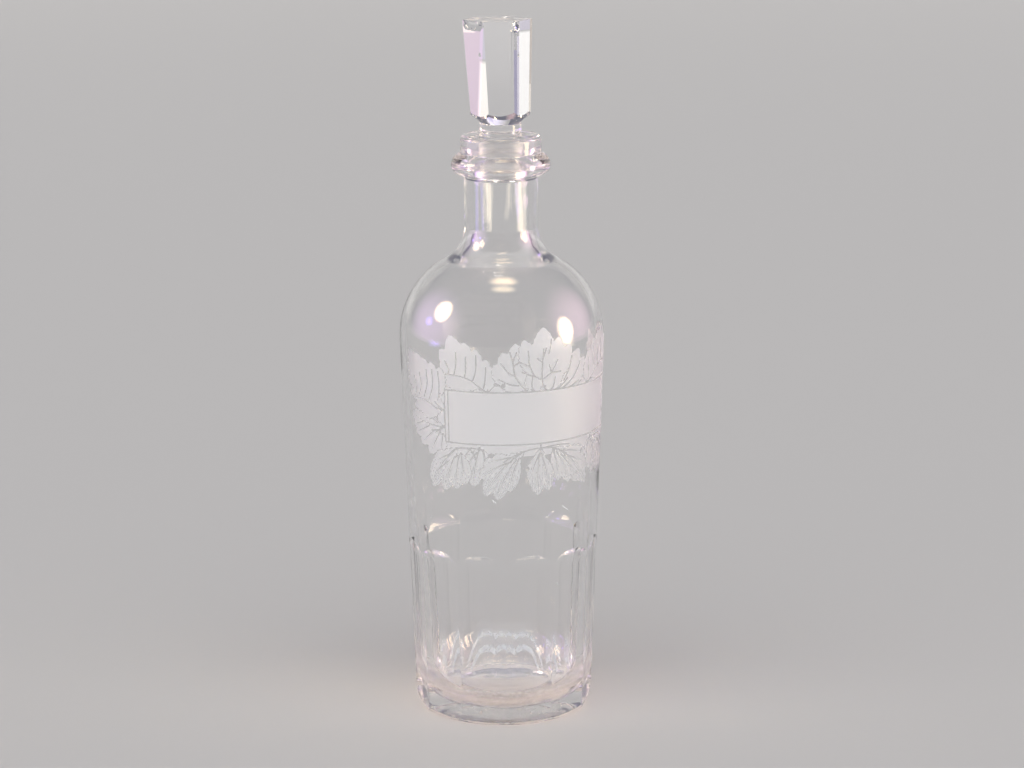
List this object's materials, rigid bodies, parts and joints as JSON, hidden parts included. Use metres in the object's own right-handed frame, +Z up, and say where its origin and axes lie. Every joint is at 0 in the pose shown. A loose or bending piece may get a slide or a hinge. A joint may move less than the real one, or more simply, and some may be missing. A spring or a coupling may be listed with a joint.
{
  "type": "stoppered bottle",
  "caption": "Tall clear glass bottle with a tapered body cut with flat flutes at the foot, a ringed neck, and a solid six-sided glass stopper that lifts out.",
  "frame": {"origin": "middle of the foot, on the surface that the bottle stands on", "axes": "+Z up along the bottle's axis, front with the etched banner facing -Y"},
  "size_m": [0.0882, 0.0882, 0.3011],
  "materials": {
    "clear_glass": "clear blown glass, polished, with cut flutes and a wheel-etched frosted wreath of leaves round a bare banner",
    "cut_glass": "clear solid glass, head cut and polished to six flats, plug ground matt"
  },
  "bodies": {
    "bottle": {"bottle": "clear_glass"},
    "stopper": {"stopper": "cut_glass"}
  },
  "joints": [
    {"name": "stopper_lift", "type": "slide", "parent": "bottle", "child": "stopper", "axis": [0, 0, 1], "range_m": [0, 0.08]}
  ]
}
